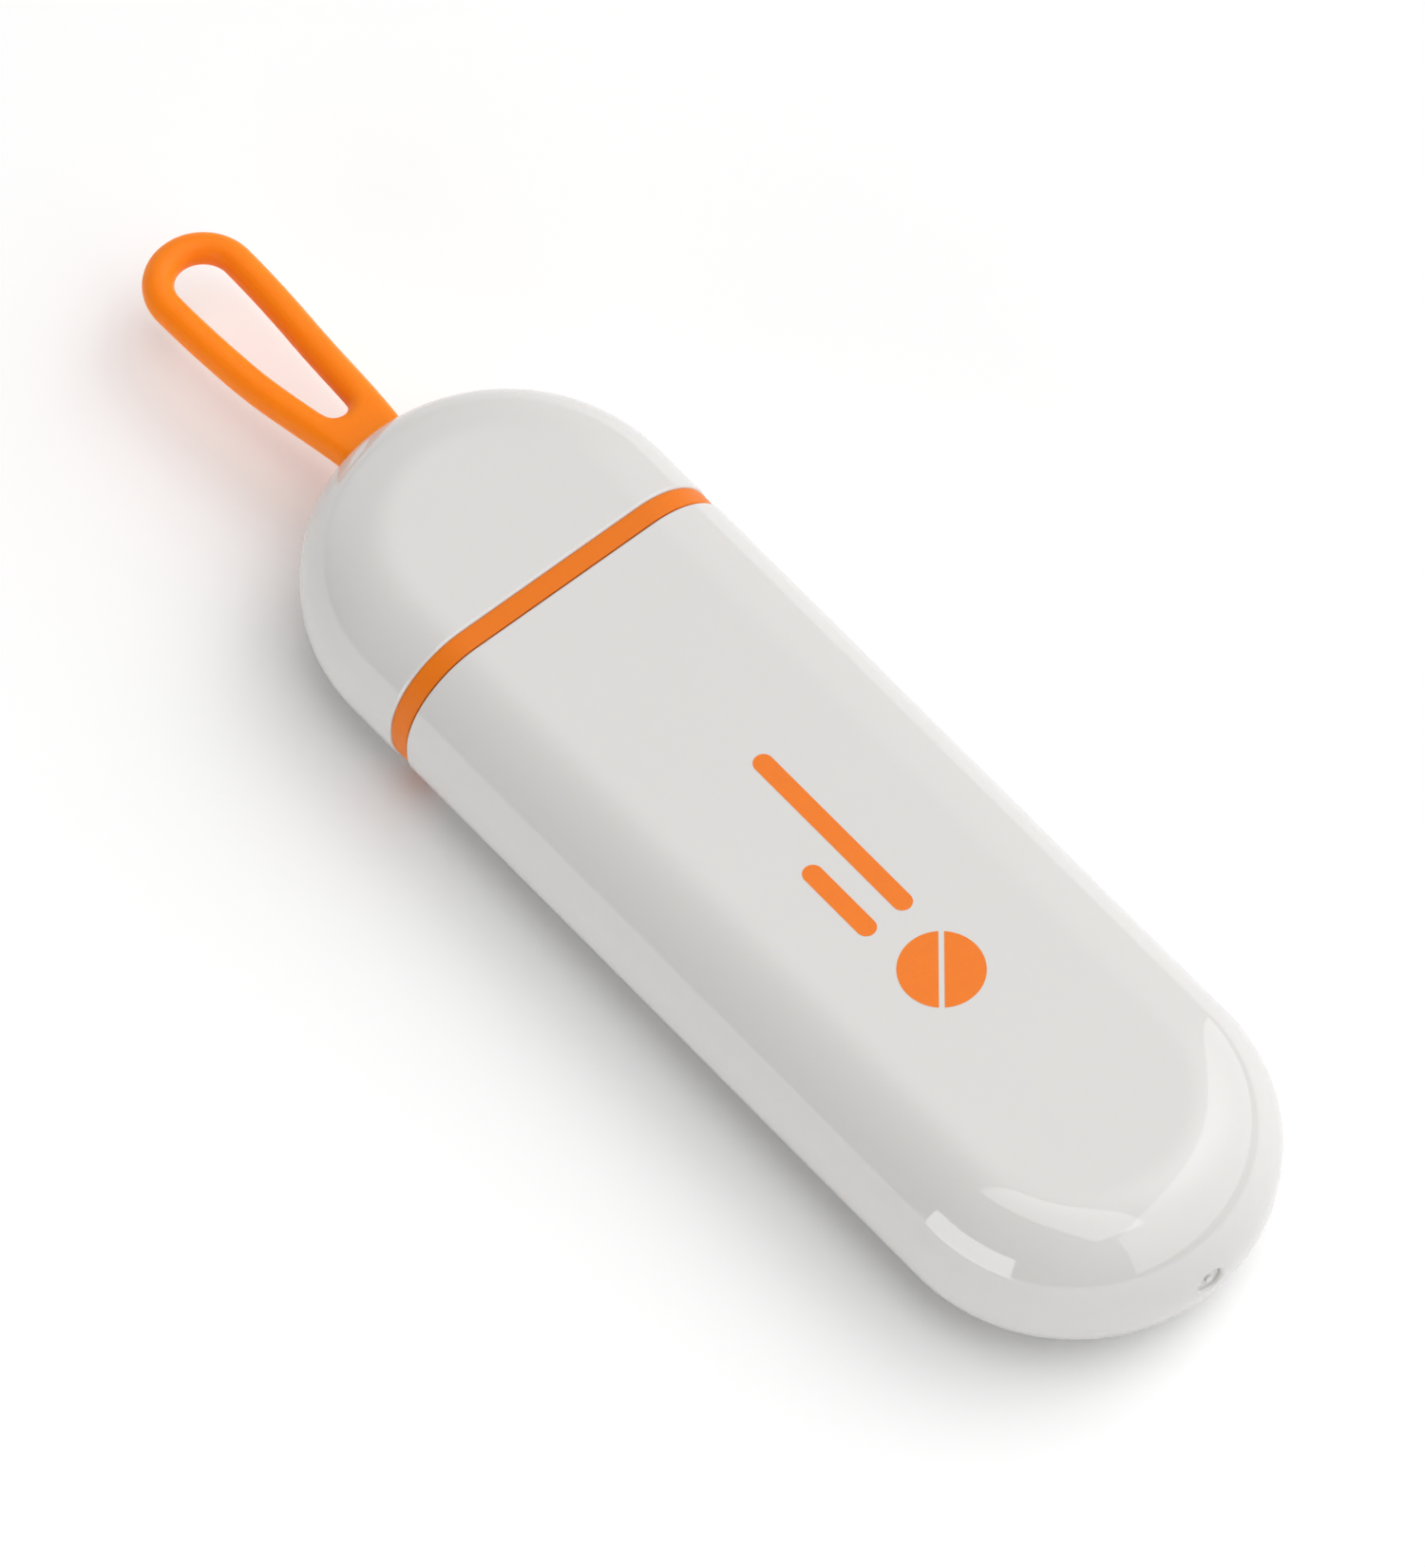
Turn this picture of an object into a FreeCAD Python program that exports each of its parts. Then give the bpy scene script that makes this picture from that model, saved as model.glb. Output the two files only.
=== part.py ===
import FreeCAD, Part
import math
import os

V = FreeCAD.Vector

# Pocket pill case: a flat capsule-shaped shell in two halves, a long case and a short cap.
# The cap carries a plug, a silicone seal ring, a silicone pull loop and a pull-out tray.
# Frame: X across the width, Y along the length towards the cap and its loop, Z up through
# the thickness. The flat back face lies on z = 0, and the origin is at its centre.
# All sizes are in millimetres.

# ---- driving dimensions: the body ----
BODY_WIDTH = 40.0          # across X; the two ends are half circles of this width
BODY_LENGTH = 124.0        # along Y, without the pull loop
BODY_THICKNESS = 18.6      # along Z
SIDE_BAND = 0.8            # straight height left at the side between the two edge rounds
SHELL_WALL = 1.8           # wall of the case and of the cap
CAP_LENGTH = 26.5          # cap shell, from the seal ring to its round end
RING_BAND = 2.25           # visible width of the silicone seal ring
RING_RECESS = 0.2          # how far the ring lies below the surface of the shells
SEAM_GAP = 0.15            # gap between the ring and the rim of the case
RIM_ROUND = 0.25           # round on the outer edge of each rim
LEAD_IN = 0.4              # chamfer inside the mouth of the case

# ---- driving dimensions: the moulding gate at the closed end ----
GATE_DIAMETER = 2.8
GATE_DEPTH = 0.5
GATE_STUB_DIAMETER = 0.8
GATE_STUB_HEIGHT = 0.25

# ---- driving dimensions: the plug and the seal ring ----
SEAL_CLEARANCE = 0.08      # seal bead to the inside of the case
SKIRT_CLEARANCE = 0.35     # seal skirt and plug to the inside of the case
SKIRT_THICKNESS = 0.85     # silicone skirt round the plug
SKIRT_LENGTH = 2.4         # skirt beyond the visible band, inside the case
BEAD_WIDTH = 0.9
PLUG_WALL = 1.4
PLUG_FLANGE = 1.2          # flange that backs the ring, inside the cap
PLUG_SKIRT_LENGTH = 8.0    # how far the plug reaches into the cap
PLUG_SNUG = 0.05           # plug to the inside of the cap
BULKHEAD = 2.0             # plate that closes the case
TOWER_WIDTH = 14.0         # box that holds the foot of the loop against the cap
TOWER_HEIGHT = 8.0
TOWER_WALL = 1.3
WEB_THICKNESS = 1.2        # webs from the tower to the plug's skirt

# ---- driving dimensions: the pull loop ----
LOOP_REACH = 31.5          # beyond the round end of the cap
LOOP_END_WIDTH = 11.9
LOOP_ROOT_WIDTH = 7.7      # where it leaves the cap
LOOP_THICKNESS = 3.2
LOOP_EDGE_ROUND = 1.4
EYE_START = 4.6            # solid root, from the cap to the eye
EYE_NEAR_RADIUS = 1.1
LOOP_SIDE_RADIUS = 260.0   # the sides of the loop bow out a little
EYE_SIDE_RADIUS = 260.0
FLEX_LIMIT = 60.0          # degrees that the root bends each way
FLEX_MARGIN = 1.0          # degrees left free at the limit
FLEX_OFFSET = 1.7          # from the end of the cap to the flex line
FLEX_GAP = 0.15            # between the two halves of the root at the flex line
FOOT_WIDTH = 12.0
FOOT_HEIGHT = 6.4
FOOT_LENGTH = 2.8
FOOT_SEAT_DEPTH = 4.2      # from the end of the cap to the seat of the foot
SEAT_MARGIN = 1.6          # seat boss round the foot
SLOT_CLEARANCE = 0.05

# ---- driving dimensions: the tray ----
TRAY_CLEARANCE = 0.4       # tray to the inside of the case
TRAY_TOP_GAP = 1.6         # from the rim of the tray to the ceiling of the case
TRAY_WALL = 1.2
TRAY_CORNER = 4.0          # outside round along the bottom of the tray
TRAY_END_WALL = 1.4
COMPARTMENTS = 4
GROOVES_PER_COMPARTMENT = 2
DIVIDER_THICKNESS = 1.2
DIVIDER_PLAY = 0.05
GUIDE_WIDTH = 0.8          # the ribs that make a groove for a divider
GUIDE_DEPTH = 0.8
GUIDE_TOP_DROP = 0.8
DIVIDER_TOP_DROP = 1.0
FINGER_DIP_RADIUS = 4.5
FINGER_DIP_DEPTH = 2.0
TONGUE_THICKNESS = 1.4
TONGUE_MARGIN = 0.5        # tongue to the tower on one side and to the plug on the other
SOCKET_PLAY = 0.05
BARB_HEIGHT = 0.4
BARB_LENGTH = 1.2

# ---- places that follow from them ----
HALF_WIDTH = BODY_WIDTH / 2
HALF_LENGTH = BODY_LENGTH / 2
MID_Z = BODY_THICKNESS / 2
EDGE_RADIUS = (BODY_THICKNESS - SIDE_BAND) / 2
CAP_RIM_Y = HALF_LENGTH - CAP_LENGTH
RING_FACE_Y = CAP_RIM_Y - RING_BAND
CASE_RIM_Y = RING_FACE_Y - SEAM_GAP
SKIRT_END_Y = RING_FACE_Y - SKIRT_LENGTH
BULKHEAD_FACE_Y = SKIRT_END_Y - BULKHEAD
SKIRT_INSET = SHELL_WALL + SKIRT_CLEARANCE
NECK_INSET = SKIRT_INSET + SKIRT_THICKNESS
PLUG_INSET = NECK_INSET + PLUG_WALL
SEAT_Y = HALF_LENGTH - FOOT_SEAT_DEPTH
FOOT_Y = SEAT_Y - FOOT_LENGTH
FLEX_Y = HALF_LENGTH + FLEX_OFFSET
EYE_FAR_RADIUS = LOOP_END_WIDTH / 2 - LOOP_THICKNESS
LOOP_END_Y = HALF_LENGTH + LOOP_REACH - LOOP_END_WIDTH / 2
TRAY_INSET = SHELL_WALL + TRAY_CLEARANCE
TRAY_BOTTOM = TRAY_INSET
TRAY_FLOOR = TRAY_BOTTOM + TRAY_WALL
TRAY_TOP = BODY_THICKNESS - SHELL_WALL - TRAY_TOP_GAP
GUIDE_FOOT = TRAY_FLOOR + TRAY_CORNER - TRAY_WALL

PLENTY = 4 * BODY_LENGTH   # larger than the object, for cutting
TOUCH = 1e-4               # two places closer than this are the same place


def half_width_at(inset, z):
    """Half the width at height z of the body shape drawn in by inset."""
    radius = EDGE_RADIUS - inset
    rise = max(0.0, abs(z - MID_Z) - SIDE_BAND / 2)
    return HALF_WIDTH - EDGE_RADIUS + math.sqrt(radius ** 2 - rise ** 2)


TRAY_HALF_WIDTH = half_width_at(TRAY_INSET, TRAY_TOP)
TRAY_INNER_HALF = TRAY_HALF_WIDTH - TRAY_WALL
TRAY_FAR_Y = TRAY_HALF_WIDTH - HALF_WIDTH + HALF_LENGTH
TRAY_INNER_LOW = -TRAY_FAR_Y + TRAY_WALL
TRAY_INNER_HIGH = BULKHEAD_FACE_Y - TRAY_END_WALL
COMPARTMENT_PITCH = (TRAY_INNER_HIGH - TRAY_INNER_LOW) / COMPARTMENTS
BARB_THICKNESS = TONGUE_THICKNESS + 2 * BARB_HEIGHT
TONGUE_Z = (PLUG_INSET + MID_Z - WEB_THICKNESS / 2) / 2
TONGUE_NEAR_X = TOWER_WIDTH / 2 + TONGUE_MARGIN
TONGUE_FAR_X = half_width_at(PLUG_INSET, TONGUE_Z - BARB_THICKNESS / 2) - TONGUE_MARGIN


# ---- helpers ----
def box(x0, x1, y0, y1, z0, z1):
    return Part.makeBox(x1 - x0, y1 - y0, z1 - z0, V(x0, y0, z0))


def centred_box(width, y0, y1, height, x=0.0, z=MID_Z):
    return box(x - width / 2, x + width / 2, y0, y1, z - height / 2, z + height / 2)


def line(a, b):
    return Part.LineSegment(a, b).toShape()


def arc(a, b, c):
    return Part.Arc(a, b, c).toShape()


def stadium(half_width, y_low, y_high, z):
    """Face with straight sides and half-circle ends, at height z."""
    low = y_low + half_width
    high = y_high - half_width
    return Part.Face(Part.Wire([
        line(V(half_width, low, z), V(half_width, high, z)),
        arc(V(half_width, high, z), V(0, y_high, z), V(-half_width, high, z)),
        line(V(-half_width, high, z), V(-half_width, low, z)),
        arc(V(-half_width, low, z), V(0, y_low, z), V(half_width, low, z)),
    ]))


def same(a, b):
    return abs(a - b) < TOUCH


def flat_edges(shape, z):
    """Edges of shape that lie in the plane at height z."""
    return [e for e in shape.Edges if same(e.BoundBox.ZMin, z) and same(e.BoundBox.ZMax, z)]


def body(inset):
    """The whole outer shape of the object, drawn in by inset on every side."""
    half = HALF_WIDTH - inset
    block = stadium(half, -HALF_LENGTH + inset, HALF_LENGTH - inset, inset)
    block = block.extrude(V(0, 0, BODY_THICKNESS - 2 * inset))
    rims = flat_edges(block, inset) + flat_edges(block, BODY_THICKNESS - inset)
    return block.makeFillet(EDGE_RADIUS - inset, rims)


def slab(shape, y0, y1):
    """The part of shape between two planes across Y."""
    return shape.common(box(-PLENTY, PLENTY, y0, y1, -PLENTY, PLENTY))


def sleeve(outer_inset, inner_inset, y0, y1):
    return slab(body(outer_inset), y0, y1).cut(body(inner_inset))


def inset_of(point):
    """How far inside the outer shape a point of a straight cross-section lies."""
    qx = abs(point.x) - (HALF_WIDTH - EDGE_RADIUS)
    qz = abs(point.z - MID_Z) - SIDE_BAND / 2
    return EDGE_RADIUS - math.hypot(max(qx, 0), max(qz, 0)) - min(max(qx, qz), 0)


def rim_edges(shape, y, inset):
    """Edges round the cross-section at y that lie at the given inset."""
    found = []
    for edge in shape.Edges:
        middle = edge.valueAt((edge.FirstParameter + edge.LastParameter) / 2)
        in_plane = same(edge.BoundBox.YMin, y) and same(edge.BoundBox.YMax, y)
        if in_plane and same(inset_of(middle), inset):
            found.append(edge)
    return found


def rounded_bar(width, thickness, radius, y0, y1):
    """Straight bar along Y with rounded long edges, at mid-thickness."""
    bar = centred_box(width, y0, y1, thickness)
    long_edges = [e for e in bar.Edges if e.BoundBox.YLength > (y1 - y0) / 2]
    return bar.makeFillet(radius, long_edges)


# ---- the case ----
def outer_case():
    """Long half of the shell, open at the cap end."""
    shell = sleeve(0, SHELL_WALL, -HALF_LENGTH, CASE_RIM_Y)
    shell = shell.makeFillet(RIM_ROUND, rim_edges(shell, CASE_RIM_Y, 0))
    shell = shell.makeChamfer(LEAD_IN, rim_edges(shell, CASE_RIM_Y, SHELL_WALL))
    outwards = V(0, -1, 0)
    bottom = V(0, -HALF_LENGTH + GATE_DEPTH, MID_Z)
    recess = Part.makeCylinder(GATE_DIAMETER / 2, 2 * GATE_DEPTH, bottom, outwards)
    stub = Part.makeCylinder(GATE_STUB_DIAMETER / 2, GATE_STUB_HEIGHT, bottom, outwards)
    return shell.cut(recess).fuse(stub).removeSplitter()


# ---- the cap ----
def root_bar(extra, y0, y1):
    """Root of the loop as a bar, drawn out by extra on every side."""
    width = LOOP_ROOT_WIDTH + 2 * extra
    return rounded_bar(width, LOOP_THICKNESS + 2 * extra, LOOP_EDGE_ROUND, y0, y1)


def cap_shell():
    """Short half of the shell, with a seat and a slot for the loop in its end."""
    shell = sleeve(0, SHELL_WALL, CAP_RIM_Y, HALF_LENGTH)
    shell = shell.makeFillet(RIM_ROUND, rim_edges(shell, CAP_RIM_Y, 0))
    boss_width = FOOT_WIDTH + 2 * SEAT_MARGIN
    boss = centred_box(boss_width, SEAT_Y, HALF_LENGTH, FOOT_HEIGHT + 2 * SEAT_MARGIN)
    shell = shell.fuse(boss.common(body(SHELL_WALL / 2)))
    return shell.cut(root_bar(SLOT_CLEARANCE, SEAT_Y - 1, HALF_LENGTH + 1)).removeSplitter()


def cap_core():
    """Plug that closes the case, carries the ring and the tray, and holds the loop in."""
    bulkhead = slab(body(SKIRT_INSET), BULKHEAD_FACE_Y, SKIRT_END_Y)
    neck = sleeve(NECK_INSET, PLUG_INSET, SKIRT_END_Y, CAP_RIM_Y)
    snug = SHELL_WALL + PLUG_SNUG
    flange = sleeve(snug, PLUG_INSET, CAP_RIM_Y, CAP_RIM_Y + PLUG_FLANGE)
    skirt = sleeve(snug, snug + PLUG_WALL, CAP_RIM_Y + PLUG_FLANGE, CAP_RIM_Y + PLUG_SKIRT_LENGTH)
    tower = centred_box(TOWER_WIDTH, SKIRT_END_Y, FOOT_Y, TOWER_HEIGHT)
    hollow = centred_box(TOWER_WIDTH - 2 * TOWER_WALL, SKIRT_END_Y, FOOT_Y - TOWER_WALL,
                         TOWER_HEIGHT - 2 * TOWER_WALL)
    webs = centred_box(BODY_WIDTH, SKIRT_END_Y, CAP_RIM_Y + PLUG_SKIRT_LENGTH, WEB_THICKNESS)
    webs = webs.common(body(NECK_INSET + PLUG_WALL / 2)).cut(hollow)
    core = bulkhead.multiFuse([neck, flange, skirt, tower.cut(hollow), webs])
    for side in (-1, 1):
        socket = tongue_bar(side, SOCKET_PLAY, TONGUE_THICKNESS, BULKHEAD_FACE_Y - 1, SKIRT_END_Y + 1)
        core = core.cut(socket)
    return core.removeSplitter()


def seal_ring():
    """Silicone ring: a visible band just below the surface, and a skirt with a bead inside the case."""
    band = slab(body(RING_RECESS), RING_FACE_Y, CAP_RIM_Y)
    skirt = slab(body(SKIRT_INSET), SKIRT_END_Y, RING_FACE_Y)
    bead_y = (SKIRT_END_Y + RING_FACE_Y - BEAD_WIDTH) / 2
    bead = slab(body(SHELL_WALL + SEAL_CLEARANCE), bead_y, bead_y + BEAD_WIDTH)
    return band.multiFuse([skirt, bead]).cut(body(NECK_INSET)).removeSplitter()


# ---- the pull loop ----
def bowed_side(start, end_radius, side_radius):
    """Centre of the long arc from start that runs smoothly into the round end, and where it does."""
    run = V(-start.x, LOOP_END_Y - start.y, 0)
    gap = side_radius - end_radius
    along = (side_radius ** 2 - gap ** 2 - run.Length ** 2) / (2 * gap * run.Length)
    turn = math.atan2(run.y, run.x) + math.acos(along)
    away = V(math.cos(turn), math.sin(turn), 0)
    end = V(0, LOOP_END_Y, start.z)
    return end + away * gap, end - away * end_radius


def bowed_arc(start, end_radius, side_radius):
    """The long arc itself, and the point where the round end takes over."""
    centre, touch = bowed_side(start, end_radius, side_radius)
    middle = (start + touch) * 0.5 - centre
    middle.normalize()
    return arc(start, centre + middle * side_radius, touch), touch


def mirrored(point):
    return V(-point.x, point.y, point.z)


def loop_half_width(y):
    """Half the outer width of the loop between the cap and the round end."""
    centre, _ = bowed_side(V(LOOP_ROOT_WIDTH / 2, HALF_LENGTH, 0), LOOP_END_WIDTH / 2, LOOP_SIDE_RADIUS)
    return centre.x + math.sqrt(LOOP_SIDE_RADIUS ** 2 - (y - centre.y) ** 2)


def loop_plan(y_start, z):
    """Face that widens in two slight bows to a round end."""
    start = V(loop_half_width(y_start), y_start, z)
    end_radius = LOOP_END_WIDTH / 2
    side, touch = bowed_arc(start, end_radius, LOOP_SIDE_RADIUS)
    other = side.mirror(V(0, 0, 0), V(1, 0, 0))
    return Part.Face(Part.Wire([
        line(mirrored(start), start), side,
        arc(touch, V(0, LOOP_END_Y + end_radius, z), mirrored(touch)), other,
    ]))


def eye_plan(z):
    """Face of the teardrop eye: a small and a large round end, joined by slight bows."""
    near = V(0, HALF_LENGTH + EYE_START + EYE_NEAR_RADIUS, z)
    far = V(0, LOOP_END_Y, z)
    near_gap, far_gap = EYE_SIDE_RADIUS - EYE_NEAR_RADIUS, EYE_SIDE_RADIUS - EYE_FAR_RADIUS
    between = far.y - near.y
    along = (near_gap ** 2 - far_gap ** 2 + between ** 2) / (2 * between)
    centre = V(-math.sqrt(near_gap ** 2 - along ** 2), near.y + along, z)
    start = near + (near - centre) * (EYE_NEAR_RADIUS / near_gap)
    touch = far + (far - centre) * (EYE_FAR_RADIUS / far_gap)
    middle = (start + touch) * 0.5 - centre
    middle.normalize()
    side = arc(start, centre + middle * EYE_SIDE_RADIUS, touch)
    return Part.Face(Part.Wire([
        arc(mirrored(start), near - V(0, EYE_NEAR_RADIUS, 0), start), side,
        arc(touch, far + V(0, EYE_FAR_RADIUS, 0), mirrored(touch)),
        side.mirror(V(0, 0, 0), V(1, 0, 0)),
    ]))


def flex_wedge():
    """Room that the loop may fill beyond the flex line and still bend to its limit."""
    half_angle = math.radians(90.0 - FLEX_LIMIT - FLEX_MARGIN)
    reach = 2 * LOOP_REACH
    spread = reach * math.tan(half_angle)
    corners = [V(-HALF_WIDTH, FLEX_Y, MID_Z), V(-HALF_WIDTH, FLEX_Y + reach, MID_Z + spread),
               V(-HALF_WIDTH, FLEX_Y + reach, MID_Z - spread), V(-HALF_WIDTH, FLEX_Y, MID_Z)]
    wedge = Part.Face(Part.makePolygon(corners)).extrude(V(BODY_WIDTH, 0, 0))
    nose_room = Part.makeCylinder(LOOP_THICKNESS / 2 + FLEX_GAP, BODY_WIDTH,
                                  V(-HALF_WIDTH, FLEX_Y, MID_Z), V(1, 0, 0))
    return wedge.cut(nose_room)


def pull_loop():
    """The loop beyond the flex line, with its teardrop eye."""
    z = MID_Z - LOOP_THICKNESS / 2
    plan = loop_plan(FLEX_Y, z)
    solid = plan.cut(eye_plan(z)).extrude(V(0, 0, LOOP_THICKNESS))
    long_edges = [e for e in flat_edges(solid, z) + flat_edges(solid, z + LOOP_THICKNESS)
                  if not same(e.BoundBox.YMax, FLEX_Y)]
    return solid.makeFillet(LOOP_EDGE_ROUND, long_edges).common(flex_wedge())


def loop_anchor():
    """Root of the loop up to the flex line, and its foot behind the end of the cap."""
    root = root_bar(0, SEAT_Y, FLEX_Y)
    tip = root_bar(0, FLEX_Y - 1, FLEX_Y)
    face = [f for f in tip.Faces if same(f.BoundBox.YMin, FLEX_Y)][0]
    upper = face.common(box(-HALF_WIDTH, HALF_WIDTH, FLEX_Y - 1, FLEX_Y + 1, MID_Z, PLENTY))
    nose = upper.revolve(V(0, FLEX_Y, MID_Z), V(1, 0, 0), -180)
    foot = centred_box(FOOT_WIDTH, FOOT_Y, SEAT_Y, FOOT_HEIGHT)
    return foot.multiFuse([root, nose]).removeSplitter()


# ---- the tray ----
def tub(half_width, y_low, y_high, z_low, radius):
    """Open-topped tub shape: round far end, straight near end, rounded bottom edge."""
    block = stadium(half_width, y_low, y_high + 2 * half_width, z_low).extrude(V(0, 0, TRAY_TOP - z_low))
    return slab(block.makeFillet(radius, flat_edges(block, z_low)), y_low, y_high)


def tray_room(play):
    """The space inside the tray, narrower by play on each side."""
    corner = TRAY_CORNER - TRAY_WALL
    return tub(TRAY_INNER_HALF - play, TRAY_INNER_LOW, TRAY_INNER_HIGH, TRAY_FLOOR, corner)


def groove_places():
    """Y of every groove that a divider can stand in, in the straight part of the tray."""
    step = COMPARTMENT_PITCH / GROOVES_PER_COMPARTMENT
    count = COMPARTMENTS * GROOVES_PER_COMPARTMENT
    places = [TRAY_INNER_LOW + step * i for i in range(1, count)]
    round_end = TRAY_INNER_LOW + TRAY_INNER_HALF
    half = DIVIDER_THICKNESS / 2 + DIVIDER_PLAY + GUIDE_WIDTH
    return [y for y in places if y - half > round_end]


def divider_places():
    return [TRAY_INNER_LOW + COMPARTMENT_PITCH * i for i in range(1, COMPARTMENTS)]


def guide_ribs():
    """Pairs of upright ribs on both side walls; a divider drops in between a pair."""
    ribs = []
    for y in groove_places():
        for side in (-1, 1):
            near = DIVIDER_THICKNESS / 2 + DIVIDER_PLAY
            y0, y1 = sorted((y + side * near, y + side * (near + GUIDE_WIDTH)))
            for wall in (-1, 1):
                tip = wall * (TRAY_INNER_HALF - GUIDE_DEPTH)
                root = wall * (TRAY_INNER_HALF + TRAY_WALL / 2)
                x0, x1 = sorted((tip, root))
                ribs.append(box(x0, x1, y0, y1, GUIDE_FOOT, TRAY_TOP - GUIDE_TOP_DROP))
    return ribs


def tongue_bar(side, play, thickness, y0, y1):
    """A tongue on one side, or with some play the socket that takes it."""
    x = side * (TONGUE_NEAR_X + TONGUE_FAR_X) / 2
    width = TONGUE_FAR_X - TONGUE_NEAR_X
    return centred_box(width + 2 * play, y0, y1, thickness + 2 * play, x, TONGUE_Z)


def tray_tongues():
    """Two barbed tongues that hook the tray onto the plug."""
    barb_y = SKIRT_END_Y + SOCKET_PLAY
    tongues = []
    for side in (-1, 1):
        tongues.append(tongue_bar(side, 0, TONGUE_THICKNESS, BULKHEAD_FACE_Y, barb_y + BARB_LENGTH))
        tongues.append(tongue_bar(side, 0, BARB_THICKNESS, barb_y, barb_y + BARB_LENGTH))
    return tongues


def pill_tray():
    """Open tray with grooves for its dividers, hooked onto the plug."""
    tray = tub(TRAY_HALF_WIDTH, -TRAY_FAR_Y, BULKHEAD_FACE_Y, TRAY_BOTTOM, TRAY_CORNER)
    return tray.cut(tray_room(0)).multiFuse(guide_ribs() + tray_tongues()).removeSplitter()


def divider(y):
    """Loose plate across the tray, with a dip in its top edge for a fingertip."""
    half = DIVIDER_THICKNESS / 2
    top = TRAY_TOP - DIVIDER_TOP_DROP
    plate = tray_room(DIVIDER_PLAY).common(box(-HALF_WIDTH, HALF_WIDTH, y - half, y + half, 0, top))
    dip_centre = V(0, y - DIVIDER_THICKNESS, top - FINGER_DIP_DEPTH + FINGER_DIP_RADIUS)
    dip = Part.makeCylinder(FINGER_DIP_RADIUS, 2 * DIVIDER_THICKNESS, dip_centre, V(0, 1, 0))
    return plate.cut(dip)


def main():
    os.makedirs("parts", exist_ok=True)
    nodes = {
        "outer_case": outer_case(),
        "cap_shell": cap_shell(),
        "cap_core": cap_core(),
        "seal_ring": seal_ring(),
        "loop_anchor": loop_anchor(),
        "pull_loop": pull_loop(),
        "pill_tray": pill_tray(),
    }
    for number, y in enumerate(divider_places(), start=1):
        nodes["divider_%d" % number] = divider(y)
    for name, shape in nodes.items():
        shape.exportStep("parts/%s.step" % name)
        extent = shape.BoundBox
        facts = (name, len(shape.Solids), shape.isValid(), shape.Volume, extent.YMin, extent.YMax)
        print("%-12s solids %d  valid %s  volume %9.1f  y %7.2f to %7.2f" % facts)


main()
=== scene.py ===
import math

import bmesh
import bpy
from bpy.props import FloatProperty, FloatVectorProperty, IntProperty, PointerProperty
from mathutils import Matrix, Vector


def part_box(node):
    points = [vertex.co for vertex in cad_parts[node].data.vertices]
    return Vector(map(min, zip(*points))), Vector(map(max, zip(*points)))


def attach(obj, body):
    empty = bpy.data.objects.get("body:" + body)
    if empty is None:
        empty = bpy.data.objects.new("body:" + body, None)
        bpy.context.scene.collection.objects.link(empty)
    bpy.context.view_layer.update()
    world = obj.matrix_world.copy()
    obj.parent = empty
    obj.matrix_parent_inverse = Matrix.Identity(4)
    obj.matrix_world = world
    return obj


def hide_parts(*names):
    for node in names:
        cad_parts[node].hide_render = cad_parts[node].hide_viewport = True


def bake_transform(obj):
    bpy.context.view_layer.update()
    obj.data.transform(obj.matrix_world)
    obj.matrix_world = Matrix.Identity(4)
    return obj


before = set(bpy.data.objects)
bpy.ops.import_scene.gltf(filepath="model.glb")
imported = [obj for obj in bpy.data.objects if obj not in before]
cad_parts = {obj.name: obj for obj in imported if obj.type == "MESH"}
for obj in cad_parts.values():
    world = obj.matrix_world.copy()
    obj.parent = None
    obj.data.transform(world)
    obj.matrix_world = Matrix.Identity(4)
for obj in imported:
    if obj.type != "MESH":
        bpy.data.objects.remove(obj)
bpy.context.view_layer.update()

bl_info = {
    "name": "Pocket Pill Case",
    "version": (1, 0, 0),
    "blender": (4, 5, 0),
    "location": "View3D > Sidebar > Pill Case",
    "description": "Builds the shell, seal, pull loop, tray and print of a pocket pill case",
    "category": "Object",
}

MM = 0.001
TINY = 1e-6                    # two places this close are the same
FINE, CLOSE, LOOSE = 0.01 * MM, 0.02 * MM, 0.05 * MM   # play when edges are picked by a curved outline
MERGE = 10 * TINY              # slivers up to this width are merged after a full round
CIRCLE_HANDLE = 0.5523         # length of a Bezier handle for a quarter circle of radius one
NEARLY_ROUND = 0.98            # share of the half thickness that a full-round edge takes
SMOOTH_ANGLE = math.radians(32.0)

# ---- places taken from the frame ----
CASE_LOW, CASE_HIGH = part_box("outer_case")
CAP_LOW, CAP_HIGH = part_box("cap_shell")
RING_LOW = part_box("seal_ring")[0]
LOOP_LOW, LOOP_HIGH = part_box("pull_loop")
FOOT_LOW, FOOT_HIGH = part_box("loop_anchor")
TRAY_LOW, TRAY_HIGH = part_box("pill_tray")
CORE_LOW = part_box("cap_core")[0]
HALF_WIDTH = CASE_HIGH.x
BODY_TOP = CASE_HIGH.z
MID_Z = (CASE_LOW.z + CASE_HIGH.z) / 2
CASE_RIM_Y = CASE_HIGH.y
CAP_RIM_Y = CAP_LOW.y
CAP_END_Y = CAP_HIGH.y
DIVIDERS = sorted(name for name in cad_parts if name.startswith("divider"))


def length(name, text, default, low=0.0, high=1.0):
    """A setting that is a length in metres."""
    return FloatProperty(name=name, description=text, default=default, min=low, max=high,
                         subtype="DISTANCE", unit="LENGTH", precision=5)


def colour(name, text, default):
    """A setting that is a linear colour."""
    return FloatVectorProperty(name=name, description=text, default=default, size=4, min=0.0, max=1.0,
                               subtype="COLOR")


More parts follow.
